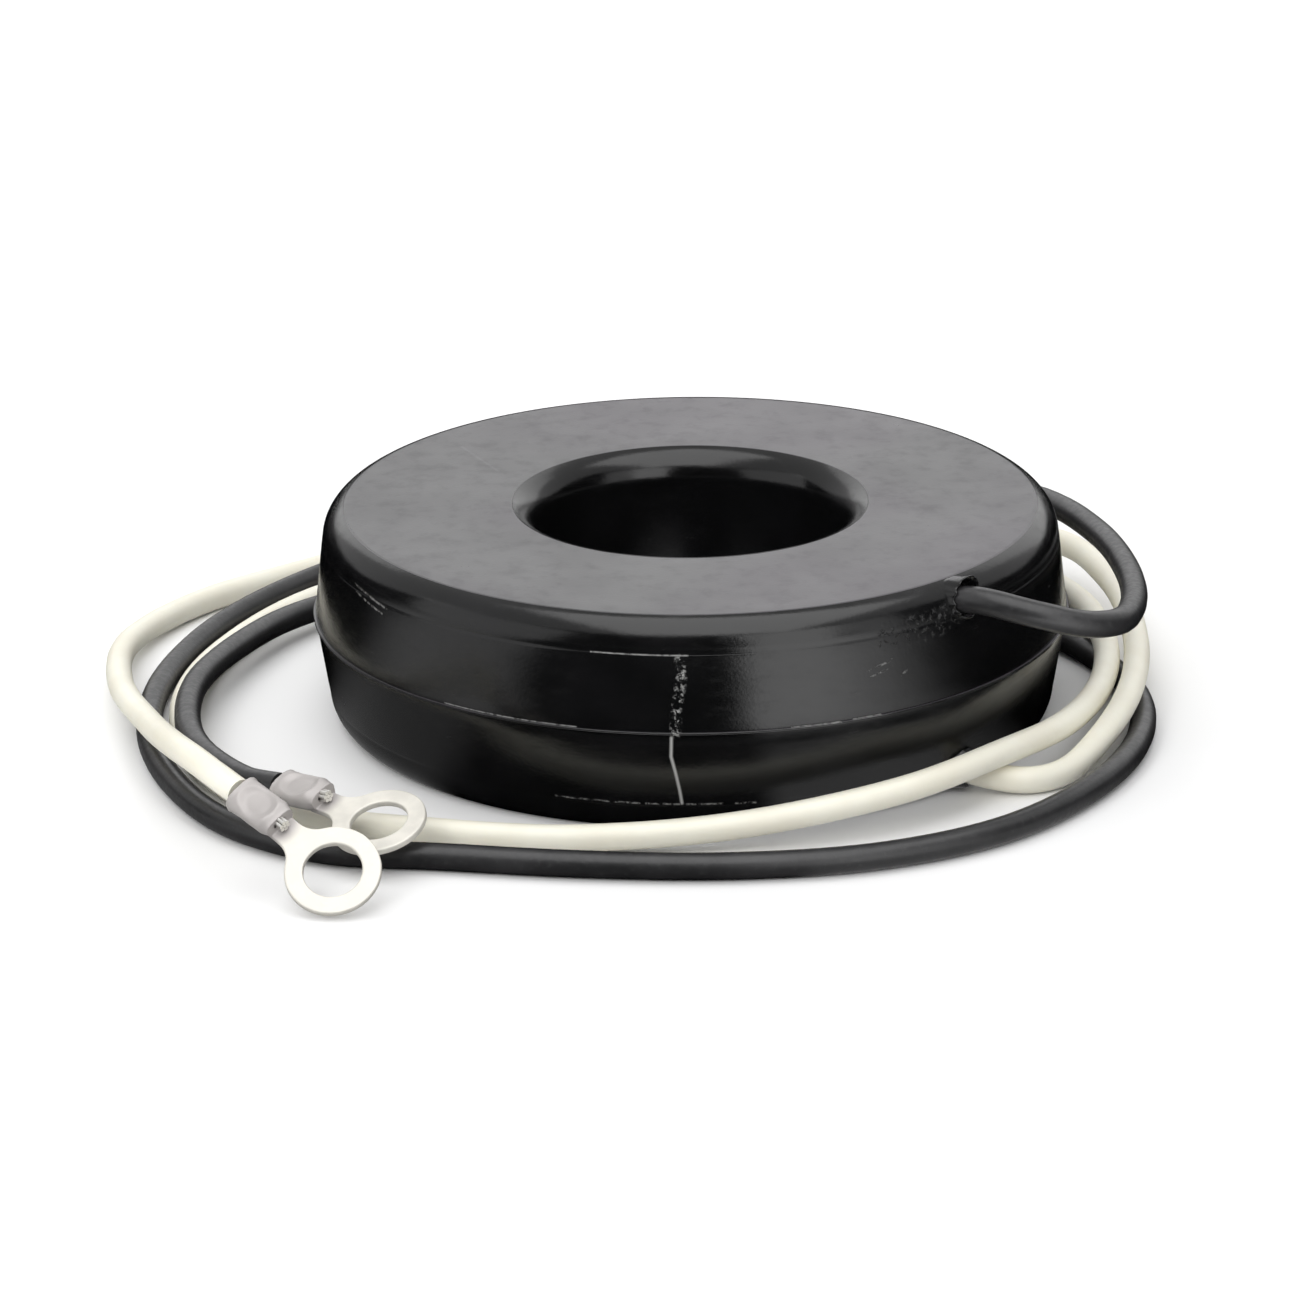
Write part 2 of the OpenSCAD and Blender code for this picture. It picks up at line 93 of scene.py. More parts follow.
WHITE_LAY = [
    (-46.9, -7.8, 3.9), (-42.3, 1.1, 2.3), (-38.6, 4.9, 1.7), (-33.5, 6.8, 1.8),
    (-24, 7.4, 3.3), (-11.1, 7.9, 4.8), (10.1, 9.8, 4.9), (31.1, 15.7, 4.9),
    (42.8, 19.1, 5.2), (59.3, 18.5, 3.8), (81.3, 15.4, 2), (106.3, 12.7, 1.6),
    (140.6, 13.3, 1.6), (164.7, 14.4, 1.6), (184.8, 16, 1.6), (207.2, 17, 1.6),
    (223.1, 14.7, 1.6), (236.1, 9.6, 1.6), (253.7, 5.6, 1.8), (274.8, 3.7, 3),
    (298.7, 3.6, 4.8), (318, 2.8, 5.3), (333.3, 3.6, 5), (349.9, 4.3, 4.9),
    (369.2, 5.8, 4.9), (388.4, 8.4, 4.8), (409.9, 10, 4.8), (431.1, 12.8, 5.2),
    (451.9, 16.8, 5.1), (472.6, 20.8, 3.2), (495.6, 21.5, 1.6), (511, 24.9, 1.6),
    (526, 25.8, 2.4), (541.7, 23.3, 3.9), (559.9, 21.9, 6.3), (574.3, 25.8, 10),
    (580.6, 28.3, 11.3), (584.4, 29.3, 11.1), (587.5, 29.4, 10.1),
]


def around(azimuth, radius, height):
    a = math.radians(azimuth)
    return (radius * math.cos(a), radius * math.sin(a), height)


def route_of(splice, lay):
    """Route in mm: the splice first, then the lay."""
    radius, azimuth, height = splice
    return [around(azimuth, radius, height), *(around(a, CASE_R + out, z) for a, out, z in lay)]


BLACK_ROUTE = route_of(BLACK_SPLICE, BLACK_LAY)
WHITE_ROUTE = route_of(WHITE_SPLICE, WHITE_LAY)
BLACK_ROLL, BLACK_BEND = 20, 9
WHITE_ROLL, WHITE_BEND = 31, 12


def smooth_route(points, steps=8):
    """Centripetal Catmull-Rom curve through the route's points, in metres."""
    pts = [Vector(p) for p in points]
    pts = [2 * pts[0] - pts[1], *pts, 2 * pts[-1] - pts[-2]]
    out = []
    for i in range(1, len(pts) - 2):
        p0, p1, p2, p3 = pts[i - 1:i + 3]
        t0 = 0.0
        t1 = t0 + (p1 - p0).length ** 0.5
        t2 = t1 + (p2 - p1).length ** 0.5
        t3 = t2 + (p3 - p2).length ** 0.5
        for k in range(steps):
            t = t1 + (t2 - t1) * k / steps
            a1 = p0 * ((t1 - t) / (t1 - t0)) + p1 * ((t - t0) / (t1 - t0))
            a2 = p1 * ((t2 - t) / (t2 - t1)) + p2 * ((t - t1) / (t2 - t1))
            a3 = p2 * ((t3 - t) / (t3 - t2)) + p3 * ((t - t2) / (t3 - t2))
            b1 = a1 * ((t2 - t) / (t2 - t0)) + a2 * ((t - t0) / (t2 - t0))
            b2 = a2 * ((t3 - t) / (t3 - t1)) + a3 * ((t - t1) / (t3 - t1))
            out.append((b1 * ((t2 - t) / (t2 - t1)) + b2 * ((t - t1) / (t2 - t1))) * MM)
    out.append(pts[-2] * MM)
    return out


def make_lead(name, route):
    """A lead as a tube along its smooth line, with its slight unevenness in the radius."""
    line = smooth_route(route)
    curve = bpy.data.curves.new(name, "CURVE")
    curve.dimensions = "3D"
    curve.bevel_depth = LEAD_D / 2 * MM
    curve.bevel_resolution = 6
    curve.use_fill_caps = True
    curve.twist_mode = "MINIMUM"
    spline = curve.splines.new("POLY")
    spline.points.add(len(line) - 1)
    for k, (point, co) in enumerate(zip(spline.points, line)):
        point.co = (*co, 1)
        point.radius = 1 + 0.012 * noise.noise(Vector((k * 0.23, len(name), 0)))
    spline.use_smooth = True
    drawn = bpy.data.objects.new(name + "_line", curve)
    bpy.context.scene.collection.objects.link(drawn)
    # as a mesh, because a curve's own box is a metre too large
    deps = bpy.context.evaluated_depsgraph_get()
    tube = bpy.data.meshes.new_from_object(drawn.evaluated_get(deps))
    bpy.data.objects.remove(drawn)
    obj = bpy.data.objects.new(name, tube)
    bpy.context.scene.collection.objects.link(obj)
    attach(obj, "root")
    return obj, line


black_lead, black_line = make_lead("black_lead_cord", BLACK_ROUTE)
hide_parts("black_lead")
white_lead, white_line = make_lead("white_lead_cord", WHITE_ROUTE)
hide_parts("white_lead")

# ---- mesh helpers --------------------------------------------------------------


def mesh_object(name, bm, smooth=True, sharp_deg=None):
    me = bpy.data.meshes.new(name)
    bm.to_mesh(me)
    bm.free()
    if smooth:
        me.shade_smooth()
    if sharp_deg is not None:
        me.set_sharp_from_angle(angle=math.radians(sharp_deg))
    obj = bpy.data.objects.new(name, me)
    bpy.context.scene.collection.objects.link(obj)
    return obj


def apply_modifiers(obj):
    """Keeps the evaluated mesh and drops the modifiers."""
    deps = bpy.context.evaluated_depsgraph_get()
    me = bpy.data.meshes.new_from_object(obj.evaluated_get(deps))
    old = obj.data
    obj.modifiers.clear()
    obj.data = me
    bpy.data.meshes.remove(old)
    me.name = obj.name
    me.shade_smooth()


def grid_faces(bm, rings, close_ring=True, close_loop=False):
    """Quads between neighbouring rings of vertices."""
    count = len(rings[0])
    pairs = list(zip(rings, rings[1:]))
    if close_loop:
        pairs.append((rings[-1], rings[0]))
    for a, b in pairs:
        for k in range(count if close_ring else count - 1):
            n = (k + 1) % count
            bm.faces.new((a[k], a[n], b[n], b[k]))


# ---- case ------------------------------------------------------------------------
CASE_H = 25.4
MID = CASE_H / 2
BORE_R = 18.25
OUTER_WALL, FACE_WALL, BORE_WALL = 2.4, 2.2, 2.0
UPPER_TAPER, LOWER_TAPER = 1.0, 1.4
RIM_R, RIM_H = 4.1, 3.8
RIM_OUT = RIM_R - math.sqrt(RIM_R ** 2 - RIM_H ** 2)
LIP_OUT, LIP_H = 0.26, 0.14
LEDGE = 0.07        # step where the rounding meets the wall
GROOVE = 0.07       # fine groove along the edge of the flat face
SEGMENTS = 384
RIM_STEPS = 18


def half_profile(taper):
    """Closed section of half a case: radius and height above the parting line."""
    shoulder = MID - RIM_H
    rim_x = CASE_R - taper
    top_angle = math.asin(RIM_H / RIM_R)
    points = []
    # bore, from the parting line up
    points += [(BORE_R, 0.0), (BORE_R, shoulder * 0.5), (BORE_R, shoulder - 0.1), (BORE_R, shoulder)]
    for k in range(1, RIM_STEPS + 1):
        a = math.pi - top_angle * k / RIM_STEPS
        points.append((BORE_R + RIM_R + RIM_R * math.cos(a), shoulder + RIM_R * math.sin(a)))
    inner_edge = BORE_R + RIM_OUT
    points += [(inner_edge + 0.08, MID - GROOVE), (inner_edge + 0.2, MID - 0.01),
               (inner_edge + 0.4, MID)]
    outer_edge = rim_x - RIM_OUT
    for k in range(1, 8):
        points.append((inner_edge + (outer_edge - inner_edge) * k / 8, MID))
    points += [(outer_edge - 0.45, MID), (outer_edge - 0.25, MID - 0.012),
               (outer_edge - 0.12, MID - GROOVE), (outer_edge - 0.02, MID - GROOVE)]
    for k in range(RIM_STEPS + 1):
        a = top_angle * (1 - k / RIM_STEPS)
        r = RIM_R - LEDGE * (k / RIM_STEPS) ** 2
        points.append((rim_x - RIM_R + r * math.cos(a), shoulder + r * math.sin(a)))
    points += [(rim_x - LEDGE * 0.6, shoulder - 0.04), (rim_x - 0.01, shoulder - 0.09),
               (rim_x + 0.01, shoulder - 0.2)]
    wall_top = shoulder - 0.2
    for k in range(1, 6):
        h = wall_top + (0.5 - wall_top) * k / 6
        points.append((CASE_R - taper * h / shoulder, h))
    lip = CASE_R + LIP_OUT
    points += [(CASE_R - 0.03, 0.5), (CASE_R - 0.02, LIP_H), (lip - 0.05, LIP_H), (lip, LIP_H - 0.05),
               (lip, 0.05), (lip - 0.05, 0.0)]
    # parting face, then the room inside
    room_x = CASE_R - taper - OUTER_WALL
    points += [(CASE_R - OUTER_WALL, 0.0), (room_x, shoulder), (room_x - RIM_OUT, MID - FACE_WALL),
               (BORE_R + BORE_WALL, MID - FACE_WALL), (BORE_R + BORE_WALL, 0.0)]
    return points


def shell(name, taper, upward):
    """Half a case as a closed lathe mesh. The lip is a little uneven, as trimmed flash is."""
    bm = bmesh.new()
    profile = half_profile(taper)
    rings = []
    for s in range(SEGMENTS):
        a = 2 * math.pi * s / SEGMENTS
        ring = []
        for r, h in profile:
            if r > CASE_R + 0.05:
                wobble = noise.noise(Vector((9 * math.cos(a), 9 * math.sin(a), 3.1)))
                fine = noise.noise(Vector((60 * math.cos(a), 60 * math.sin(a), 1.7)))
                r += (0.09 * wobble + 0.05 * fine) * (r - CASE_R) / LIP_OUT
            z = MID + h if upward else MID - h
            ring.append(bm.verts.new((r * math.cos(a) * MM, r * math.sin(a) * MM, z * MM)))
        rings.append(ring)
    grid_faces(bm, rings, close_loop=True)
    bmesh.ops.recalc_face_normals(bm, faces=bm.faces)
    obj = mesh_object(name, bm, sharp_deg=38)
    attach(obj, "root")
    return obj


upper_shell = shell("upper_case_shell", UPPER_TAPER, True)
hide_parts("upper_case")
lower_shell = shell("lower_case_shell", LOWER_TAPER, False)
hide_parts("lower_case")


def exit_frame(route):
    """Point and axes of the straight stretch on which a lead leaves the case."""
    a, b = Vector(route[1]), Vector(route[2])
    x = (b - a).normalized()
    y = Vector((0, 0, 1)).cross(x).normalized()
    return a, x, y, x.cross(y)


# Section of an exit collar: distance along it as a share of its reach, and how many mm its
# radius is above the hole's
COLLAR_OUTLINE = [(0.0, 1.25), (0.35, 0.95), (0.62, 0.72), (0.82, 0.55), (0.95, 0.46),
                  (1.0, 0.36), (0.98, 0.24), (0.88, 0.12), (0.6, 0.02), (0.0, -0.1)]
COLLAR_SIDES = 96
COLLAR_GAP = 0.10   # between the lead and the collar's hole


def torn_collar(name, route, start, reach, ear, seed):
    """Raised, torn-looking collar of case plastic around a lead where it leaves the case.

    start and reach are distances in mm along the exit axis from the route's second point, and
    ear is how far a flap on the upper side stands off the lead."""
    origin, x, y, z = exit_frame(route)
    hole = LEAD_D / 2 + COLLAR_GAP
    rings = []
    bm = bmesh.new()
    for along, wider in COLLAR_OUTLINE:
        radius = hole + wider
        ring = []
        for k in range(COLLAR_SIDES):
            a = 2 * math.pi * k / COLLAR_SIDES
            flap = max(0.0, math.cos(a - 0.35)) ** 4
            ragged = noise.noise(Vector((2.2 * math.cos(a), 2.2 * math.sin(a), seed)))
            fine = noise.noise(Vector((8 * math.cos(a), 8 * math.sin(a), seed + radius)))
            length = start + reach * along * (1 + 0.30 * ragged)
            length += (0.7 * ear * flap + 0.12 * fine) * along
            rad = radius + 0.16 * ragged * (1 - along * 0.3) + ear * flap * along ** 2
            p = origin + x * length + y * (rad * math.sin(a)) + z * (rad * math.cos(a))
            ring.append(bm.verts.new(p * MM))
        rings.append(ring)
    grid_faces(bm, rings, close_loop=True)
    bmesh.ops.recalc_face_normals(bm, faces=bm.faces)
    obj = mesh_object(name, bm)
    mod = obj.modifiers.new("subdivide", "SUBSURF")
    mod.levels = mod.render_levels = 1
    apply_modifiers(obj)
    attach(obj, "root")
    return obj


black_collar = torn_collar("black_exit_collar", BLACK_ROUTE, 5.0, 2.6, 0.75, 4.0)
white_collar = torn_collar("white_exit_collar", WHITE_ROUTE, 5.2, 2.4, 0.1, 11.0)

# ---- ring terminals -----------------------------------------------------------------
RING_D, STUD_D, STRIP_T = 10.7, 6.5, 0.8
NECK_W, FLARE_R, REACH = 3.2, 3.0, 8.0
BARREL_LEN, BARREL_W, BARREL_H = 6.4, 4.4, 2.9
BARREL_WALL = 0.62      # as modelled, before the remesh
END_WALL_ADDED = 0.5    # extra wall at the end towards the ring
LEAST_OPENING = 0.25    # smallest inner radius of the barrel
MOUTH_FLARE = 0.16
SQUARENESS = 0.78       # power that squares off the barrel's oval section
DENT_DEPTH = 0.50
BARREL_SIDES, BARREL_STEPS = 96, 60
BARED_GAP = 0.6         # bare strands between insulation and barrel
EDGE_ROUND = 0.16
VOXEL = 0.085


def ring_outline():
    """Outer outline of ring and neck, anticlockwise, with the neck's root at x = -1."""
    flare_y = NECK_W / 2 + FLARE_R
    flare_x = math.sqrt((RING_D / 2 + FLARE_R) ** 2 - flare_y ** 2)
    touch = math.atan2(flare_y, flare_x)
    pts = [(-1.0, -NECK_W / 2)]
    for k in range(13):
        a = math.pi / 2 - (math.pi / 2 - touch) * k / 12
        pts.append((REACH - flare_x + FLARE_R * math.cos(a), -(flare_y - FLARE_R * math.sin(a))))
    for k in range(1, 96):
        a = -(math.pi - touch) + 2 * (math.pi - touch) * k / 96
        pts.append((REACH + RING_D / 2 * math.cos(a), RING_D / 2 * math.sin(a)))
    for k in range(13):
        a = touch + (math.pi / 2 - touch) * k / 12
        pts.append((REACH - flare_x + FLARE_R * math.cos(a), flare_y - FLARE_R * math.sin(a)))
    pts.append((-1.0, NECK_W / 2))
    return pts


def ring_plate(name):
    """Flat ring and neck with rounded edges, as a filled and bevelled 2D curve."""
    curve = bpy.data.curves.new(name, "CURVE")
    curve.dimensions = "2D"
    curve.fill_mode = "BOTH"
    curve.extrude = STRIP_T / 2 - EDGE_ROUND
    curve.bevel_depth = EDGE_ROUND
    curve.bevel_resolution = 3
    curve.offset = -EDGE_ROUND
    turn = [2 * math.pi * k / 72 for k in range(72)]
    hole = [(REACH + STUD_D / 2 * math.cos(a), -STUD_D / 2 * math.sin(a)) for a in turn]
    for pts in (ring_outline(), hole):
        spline = curve.splines.new("POLY")
        spline.points.add(len(pts) - 1)
        for point, (x, y) in zip(spline.points, pts):
            point.co = (x, y, 0, 1)
        spline.use_cyclic_u = True
    obj = bpy.data.objects.new(name, curve)
    bpy.context.scene.collection.objects.link(obj)
    deps = bpy.context.evaluated_depsgraph_get()
    me = bpy.data.meshes.new_from_object(obj.evaluated_get(deps))
    bpy.data.objects.remove(obj)
    return me


def smooth_step(x, low, high):
    t = min(1.0, max(0.0, (x - low) / (high - low)))
    return t * t * (3 - 2 * t)


def crimp_section(u, a, seed):
    """Barrel section in mm at u from 0 to 1 along it and angle a: outer y and z."""
    mouth = MOUTH_FLARE * max(0.0, 1 - u / 0.08) ** 2
    w, h = BARREL_W / 2 + mouth, BARREL_H / 2 + mouth * 0.8
    cy, cz = math.cos(a), math.sin(a)
    y = w * math.copysign(abs(cy) ** SQUARENESS, cy)
    z = h * math.copysign(abs(cz) ** SQUARENESS, cz)
    if cz > 0:
        # the crimping tool's oval dent, with the barrel's edges left standing round it
        dent = max(0.0, 1 - ((u - 0.5) / 0.42) ** 2 - (y / (0.95 * w)) ** 2)
        z -= DENT_DEPTH * smooth_step(dent, 0.0, 0.75)
        z *= 1 - 0.10 * smooth_step(u, 0.1, 0.3)
        # the end towards the ring closes down round the strands
        z *= 1 - 0.42 * smooth_step(u, 0.82, 1.0)
    y *= 1 - 0.14 * smooth_step(u, 0.8, 1.0)
    wobble = noise.noise(Vector((u * 5, 2 * cy, 2 * cz + seed)))
    return y + 0.05 * wobble * cy, z + 0.04 * wobble * cz


def barrel_rings(bm, seed):
    """Hollow crimped barrel along X, with a thicker wall at the end towards the ring."""
    turn = [2 * math.pi * k / BARREL_SIDES for k in range(BARREL_SIDES)]
    outside = []
    for i in range(BARREL_STEPS + 1):
        u = i / BARREL_STEPS
        outside.append([(BARREL_LEN * u, *crimp_section(u, a, seed)) for a in turn])
    inside = []
    for section in reversed(outside):
        ring = []
        for x, y, z in section:
            d = max(1e-6, math.hypot(y, z))
            wall = BARREL_WALL + END_WALL_ADDED * smooth_step(x / BARREL_LEN, 0.86, 0.97)
            wall = min(wall, d - LEAST_OPENING)
            ring.append((x, y * (d - wall) / d, z * (d - wall) / d))
        inside.append(ring)
    rings = [[bm.verts.new(p) for p in ring] for ring in outside + inside]
    grid_faces(bm, rings, close_loop=True)


def terminal(name, route, roll, bend, seed):
    """One ring terminal, its plate and barrel fused by a fine remesh."""
    plate = ring_plate(name + "_plate")
    root = Matrix.Translation((BARREL_LEN - STRIP_T, 0, STRIP_T - BARREL_H / 2))
    bent = Matrix.Rotation(math.radians(bend), 4, "Y")
    lay = root @ bent @ Matrix.Translation((STRIP_T, 0, -STRIP_T / 2))
    bm = bmesh.new()
    barrel_rings(bm, seed)
    bm_plate = bmesh.new()
    bm_plate.from_mesh(plate)
    bmesh.ops.remove_doubles(bm_plate, verts=bm_plate.verts, dist=1e-4)
    bmesh.ops.transform(bm_plate, matrix=lay, verts=bm_plate.verts)
    joined = bpy.data.meshes.new(name + "_joined")
    bm_plate.to_mesh(joined)
    bm_plate.free()
    bm.from_mesh(joined)
    bmesh.ops.recalc_face_normals(bm, faces=bm.faces)
    obj = mesh_object(name, bm)
    remesh = obj.modifiers.new("fuse", "REMESH")
    remesh.mode = "VOXEL"
    remesh.voxel_size = VOXEL
    remesh.use_smooth_shade = True
    soften = obj.modifiers.new("soften", "SMOOTH")
    soften.factor = 0.5
    soften.iterations = 3
    apply_modifiers(obj)
    a, b = Vector(route[-2]), Vector(route[-1])
    d = b - a
    place = (
        Matrix.Translation(b)
        @ Matrix.Rotation(math.atan2(d.y, d.x), 4, "Z")
        @ Matrix.Rotation(-math.asin(d.z / d.length), 4, "Y")
        @ Matrix.Rotation(math.radians(roll), 4, "X")
        @ Matrix.Translation((BARED_GAP, 0, 0))
    )
    obj.data.transform(Matrix.Scale(MM, 4) @ place)
    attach(obj, "root")
    return obj


black_terminal = terminal("black_lead_terminal", BLACK_ROUTE, BLACK_ROLL, BLACK_BEND, 2.0)
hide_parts("black_terminal")
white_terminal = terminal("white_lead_terminal", WHITE_ROUTE, WHITE_ROLL, WHITE_BEND, 7.0)
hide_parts("white_terminal")

# ---- materials -----------------------------------------------------------------------


def material(name, color, roughness, metallic=0.0, **sockets):
    mat = bpy.data.materials.new(name)
    mat.use_nodes = True
    tree = mat.node_tree
    shader = tree.nodes["Principled BSDF"]
    shader.inputs["Base Color"].default_value = (*color, 1)
    shader.inputs["Roughness"].default_value = roughness
    shader.inputs["Metallic"].default_value = metallic
    for key, value in sockets.items():
        shader.inputs[key.replace("_", " ")].default_value = value
    return mat, tree, shader


def node(tree, kind, inputs=None, **props):
    n = tree.nodes.new(kind)
    for key, value in props.items():
        setattr(n, key, value)
    for key, value in (inputs or {}).items():
        if isinstance(value, bpy.types.NodeSocket):
            tree.links.new(value, n.inputs[key])
        else:
            n.inputs[key].default_value = value
    return n


def math_node(tree, op, a, b=0.0, c=0.0, clamp=False):
    n = tree.nodes.new("ShaderNodeMath")
    n.operation = op
    n.use_clamp = clamp
    for k, value in enumerate((a, b, c)):
        if isinstance(value, bpy.types.NodeSocket):
            tree.links.new(value, n.inputs[k])
        else:
            n.inputs[k].default_value = value
    return n.outputs[0]


def weighted_sum(tree, a, share_a, b, share_b):
    first = math_node(tree, "MULTIPLY", a, share_a)
    return math_node(tree, "ADD", first, math_node(tree, "MULTIPLY", b, share_b))


def object_coords(tree):
    return node(tree, "ShaderNodeTexCoord").outputs["Object"]


def noise_at(tree, coords, scale, detail=3.0, roughness=0.55, stretch=None):
    """Noise value, with scale in bumps per metre."""
    source = coords
    if stretch is not None:
        source = node(tree, "ShaderNodeMapping", {"Vector": coords, "Scale": stretch}).outputs[0]
    inputs = {"Vector": source, "Scale": scale, "Detail": detail, "Roughness": roughness}
    return node(tree, "ShaderNodeTexNoise", inputs).outputs["Fac"]


def ramp(tree, value, low, high, out_low=0.0, out_high=1.0, smooth=True):
    n = node(tree, "ShaderNodeMapRange", {0: value, 1: low, 2: high, 3: out_low, 4: out_high})
    if smooth:
        n.interpolation_type = "SMOOTHSTEP"
    return n.outputs[0]


def mix_color(tree, fac, a, b, blend="MIX"):
    n = tree.nodes.new("ShaderNodeMix")
    n.data_type = "RGBA"
    n.blend_type = blend
    sockets = [i for i in n.inputs if i.type == "RGBA"]
    for socket, value in ((n.inputs[0], fac), (sockets[0], a), (sockets[1], b)):
        if isinstance(value, bpy.types.NodeSocket):
            tree.links.new(value, socket)
        elif socket.type == "RGBA":
            socket.default_value = (*value[:3], 1)
        else:
            socket.default_value = value
    return [o for o in n.outputs if o.type == "RGBA"][0]


def bump(tree, shader, height, distance, strength=1.0):
    n = node(tree, "ShaderNodeBump", {"Height": height, "Distance": distance, "Strength": strength})
    tree.links.new(n.outputs[0], shader.inputs["Normal"])


def segment_group():
    """Node group: soft mask that is Gain on the segment A-B and falls to 0 at Width from it."""
    group = bpy.data.node_groups.new("segment_mask", "ShaderNodeTree")
    for label, kind in (("P", "NodeSocketVector"), ("A", "NodeSocketVector"), ("B", "NodeSocketVector"),
                        ("Width", "NodeSocketFloat"), ("Gain", "NodeSocketFloat")):
        group.interface.new_socket(label, in_out="INPUT", socket_type=kind)
    group.interface.new_socket("Mask", in_out="OUTPUT", socket_type="NodeSocketFloat")
    gi, go = group.nodes.new("NodeGroupInput"), group.nodes.new("NodeGroupOutput")

    def vec(op, a, b=None):
        n = group.nodes.new("ShaderNodeVectorMath")
        n.operation = op
        group.links.new(a, n.inputs[0])
        if b is not None:
            group.links.new(b, n.inputs[3 if op == "SCALE" else 1])
        return n.outputs["Value"] if op in ("DOT_PRODUCT", "LENGTH") else n.outputs["Vector"]

    pa = vec("SUBTRACT", gi.outputs["P"], gi.outputs["A"])
    ba = vec("SUBTRACT", gi.outputs["B"], gi.outputs["A"])
    h = math_node(group, "DIVIDE", vec("DOT_PRODUCT", pa, ba), vec("DOT_PRODUCT", ba, ba),
                  clamp=True)
    away = vec("LENGTH", vec("SUBTRACT", pa, vec("SCALE", ba, h)))
    share = math_node(group, "DIVIDE", away, gi.outputs["Width"])
    near = math_node(group, "SUBTRACT", 1.0, share, clamp=True)
    group.links.new(math_node(group, "MULTIPLY", near, gi.outputs["Gain"]), go.inputs["Mask"])
    return group


SEGMENT = segment_group()


def marks(tree, coords, segments):
    """Largest mask of several segments, each (A, B, width, gain) in the coords' own units."""
    total = None
    for a, b, width, gain in segments:
        n = tree.nodes.new("ShaderNodeGroup")
        n.node_tree = SEGMENT
        tree.links.new(coords, n.inputs["P"])
        n.inputs["A"].default_value = a
        n.inputs["B"].default_value = b
        n.inputs["Width"].default_value = width
        n.inputs["Gain"].default_value = gain
        total = n.outputs[0] if total is None else math_node(tree, "MAXIMUM", total, n.outputs[0])
    return total


def front_angle(tree, sep):
    """Angle round the axis from the front, in radians, from separated coordinates."""
    front = math_node(tree, "MULTIPLY", sep.outputs[1], -1.0)
    return math_node(tree, "ARCTAN2", sep.outputs[0], front)


def wall_coords(tree, sep):
    """Unrolled wall: distance round it from the front as x and height as y, both in mm."""
    along = math_node(tree, "MULTIPLY", front_angle(tree, sep), CASE_R)
    height = math_node(tree, "MULTIPLY", sep.outputs[2], 1 / MM)
    return node(tree, "ShaderNodeCombineXYZ", {0: along, 1: height}).outputs[0]


def flat_radius(tree, sep):
    """Distance from the axis, from separated coordinates."""
    flat = node(tree, "ShaderNodeCombineXYZ", {0: sep.outputs[0], 1: sep.outputs[1]}).outputs[0]
    return node(tree, "ShaderNodeVectorMath", {0: flat}, operation="LENGTH").outputs["Value"]


def on_wall(degrees, height):
    return (math.radians(degrees) * CASE_R, height, 0)


# Scratches and scuffs that the wall shows, and highlights painted as glints along the lip and the wall's
# edges, as degrees from the front and height in mm
STREAK_LOW = [(-3.0, 12.2), (-3.1, 9.8), (-2.4, 7.5), (-1.9, 5.5), (-1.6, 3.9)]
STREAK_HIGH = [(-1.7, 21.1), (-1.4, 19.6), (-1.9, 17.0), (-2.3, 15.0), (-2.4, 12.8)]
NICKS = [((26.7, 18.0), (31.0, 18.8)), ((27.3, 17.3), (30.8, 18.0)), ((32.4, 16.8), (33.4, 17.2)),
         ((-62.7, 22.2), (-53.0, 21.3)), ((-62.0, 21.4), (-54.0, 20.5))]
SEAM_GLINTS = [((-39.0, 13.0), (-17.0, 12.95)), ((14.5, 12.9), (22.0, 12.85)),
               ((24.0, 12.9), (28.5, 12.9))]
LOW_GLINTS = [((-21.0, 3.85), (-8.0, 3.8)), ((-7.0, 3.8), (4.5, 3.78)), ((6.5, 3.75), (9.5, 3.7))]
HIGH_GLINTS = [((-15.0, 21.62), (-0.5, 21.58))]
# Width and strength of each kind of mark
LOW_STREAK_MARK = (0.26, 1.0)
HIGH_STREAK_MARK = (0.75, 1.0)
NICK_MARK = (0.20, 0.9)
GLINT_MARK = (0.11, 0.8)
LOW_GLINT_MARK = (0.17, 0.9)
WALL_FROM, WALL_FULL = 41.5, 42.0   # radii between which the wall's marks fade in

# Scuffed stretch of the shoulder beside the black lead's exit, in mm
EXIT_SCUFFS = [((22.0, -37.2, 21.4), (27.0, -33.8, 21.6)),
               ((27.0, -33.8, 21.6), (30.5, -31.2, 22.2))]
EXIT_SCUFF_MARK = (1.9, 1.0)

# Faint radial step on the top face, in mm
TOP_STEP = ((-27.5, 21.2, 25.4), (-22.8, 11.5, 25.4))
TOP_STEP_MARK = (0.28, 0.5)

CASE_DARK, CASE_LIGHT = (0.0032, 0.0033, 0.0035), (0.0050, 0.0050, 0.0056)
# dust on upward faces, lightened to paint the top face's sheen as well
DUST_AND_SHEEN_COOL, DUST_AND_SHEEN_WARM = (0.063, 0.062, 0.065), (0.070, 0.063, 0.073)
TORN_COLOR = (0.16, 0.16, 0.165)
STEP_COLOR = (0.16, 0.155, 0.165)
# colour of the whitened scratches and of the painted highlight glints
SCUFF_AND_GLINT_COLOR = (0.46, 0.46, 0.45)


def wall_marks(tree, wall, lines, mark):
    """Mask of lines on the unrolled wall, each given by its two ends."""
    return marks(tree, wall, [(on_wall(*a), on_wall(*b), *mark) for a, b in lines])


def marks_in_mm(tree, coords, lines, mark):
    """Mask of lines in space, given in mm, for coordinates in metres."""
    width, gain = mark
    scaled = [(tuple(Vector(a) * MM), tuple(Vector(b) * MM), width * MM, gain) for a, b in lines]
    return marks(tree, coords, scaled)


